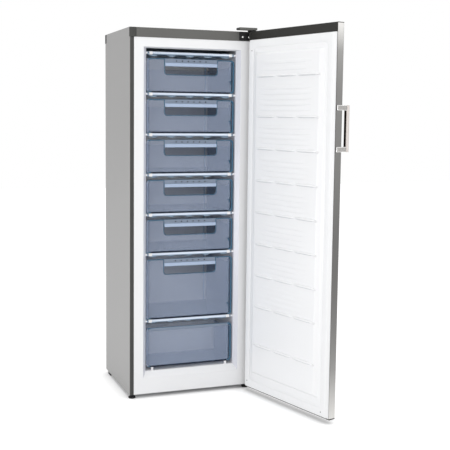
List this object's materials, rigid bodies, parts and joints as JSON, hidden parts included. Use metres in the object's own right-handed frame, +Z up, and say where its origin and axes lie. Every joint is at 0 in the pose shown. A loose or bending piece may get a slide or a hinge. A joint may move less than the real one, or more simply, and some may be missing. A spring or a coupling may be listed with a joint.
{
  "type": "upright freezer",
  "caption": "Tall upright freezer with one door hinged on the right, standing open, clear pull-out drawers on tube shelves, and its refrigerating machine behind.",
  "frame": {"origin": "on the floor, in the middle of the space that the freezer takes with its door 105 degrees open", "axes": "+Z up, the door opens towards -Y, the condenser at the back faces +Y, the door's hinges are on the +X side"},
  "size_m": [0.793, 1.11, 1.7157],
  "materials": {
    "painted_steel": "satin",
    "zinc_steel": "satin",
    "grey_plastic": "satin",
    "dark_plastic": "satin",
    "black_plastic": "matte",
    "white_liner": "gloss",
    "foam": "matte",
    "white_wire": "gloss",
    "pale_bar": "gloss",
    "clear_blue": "gloss",
    "black_steel": "satin",
    "copper": "satin",
    "brushed_steel": "satin",
    "polished_steel": "gloss",
    "soft_white": "matte",
    "bush_plastic": "satin"
  },
  "bodies": {
    "cabinet": {"side_panel_left": "painted_steel", "side_panel_right": "painted_steel", "top_panel": "painted_steel", "back_panel": "painted_steel", "base_plate": "zinc_steel", "machine_housing": "zinc_steel", "hinge_screw_1": "zinc_steel", "hinge_screw_2": "zinc_steel", "fascia_strip": "grey_plastic", "fascia_end_cap": "grey_plastic", "hinge_upper_cover": "grey_plastic", "rear_top_trim": "black_plastic", "thermostat": "black_plastic", "rear_foot_left": "black_plastic", "rear_foot_right": "black_plastic", "relay_cover": "black_plastic", "inner_liner": "white_liner", "insulation_body": "foam", "shelf_1": "white_wire", "shelf_2": "white_wire", "shelf_3": "white_wire", "shelf_4": "white_wire", "shelf_5": "white_wire", "shelf_6": "white_wire", "shelf_7": "white_wire", "shelf_bar_1": "pale_bar", "shelf_bar_2": "pale_bar", "shelf_bar_3": "pale_bar", "shelf_bar_4": "pale_bar", "shelf_bar_5": "pale_bar", "shelf_bar_6": "pale_bar", "shelf_bar_7": "pale_bar", "hinge_upper_bracket": "black_steel", "hinge_lower_bracket": "black_steel", "compressor": "black_steel", "condenser": "black_steel", "filter_drier": "copper", "feed_pipe": "copper", "suction_pipe": "copper", "discharge_pipe": "copper"},
    "door": {"door_skin": "brushed_steel", "door_insulation": "foam", "door_liner": "white_liner", "door_gasket": "soft_white", "door_top_cap": "dark_plastic", "door_bottom_cap": "dark_plastic", "hinge_bush_upper": "bush_plastic", "hinge_bush_lower": "bush_plastic", "handle_bar": "brushed_steel", "handle_bracket_upper": "polished_steel", "handle_bracket_lower": "polished_steel"},
    "drawer_1": {"drawer_1": "clear_blue"},
    "drawer_2": {"drawer_2": "clear_blue"},
    "drawer_3": {"drawer_3": "clear_blue"},
    "drawer_4": {"drawer_4": "clear_blue"},
    "drawer_5": {"drawer_5": "clear_blue"},
    "drawer_6": {"drawer_6": "clear_blue"},
    "drawer_7": {"drawer_7": "clear_blue"},
    "foot_left": {"front_foot_left": "black_plastic"},
    "foot_right": {"front_foot_right": "black_plastic"}
  },
  "joints": [
    {"name": "door_hinge", "type": "hinge", "parent": "cabinet", "child": "door", "pos_m": [0.19147, 0.02202, 0], "axis": [0, 0, 1], "range_deg": [-105, 15]},
    {"name": "drawer_1_slide", "type": "slide", "parent": "cabinet", "child": "drawer_1", "axis": [0, -1, 0], "range_m": [0, 0.3]},
    {"name": "drawer_2_slide", "type": "slide", "parent": "cabinet", "child": "drawer_2", "axis": [0, -1, 0], "range_m": [0, 0.3]},
    {"name": "drawer_3_slide", "type": "slide", "parent": "cabinet", "child": "drawer_3", "axis": [0, -1, 0], "range_m": [0, 0.3]},
    {"name": "drawer_4_slide", "type": "slide", "parent": "cabinet", "child": "drawer_4", "axis": [0, -1, 0], "range_m": [0, 0.3]},
    {"name": "drawer_5_slide", "type": "slide", "parent": "cabinet", "child": "drawer_5", "axis": [0, -1, 0], "range_m": [0, 0.3]},
    {"name": "drawer_6_slide", "type": "slide", "parent": "cabinet", "child": "drawer_6", "axis": [0, -1, 0], "range_m": [0, 0.3]},
    {"name": "drawer_7_slide", "type": "slide", "parent": "cabinet", "child": "drawer_7", "axis": [0, -1, 0], "range_m": [0, 0.19]},
    {"name": "foot_left_thread", "type": "hinge", "parent": "cabinet", "child": "foot_left", "pos_m": [-0.37853, 0.07902, 0], "axis": [0, 0, 1], "continuous": true},
    {"name": "foot_right_thread", "type": "hinge", "parent": "cabinet", "child": "foot_right", "pos_m": [0.18547, 0.07902, 0], "axis": [0, 0, 1], "continuous": true}
  ]
}
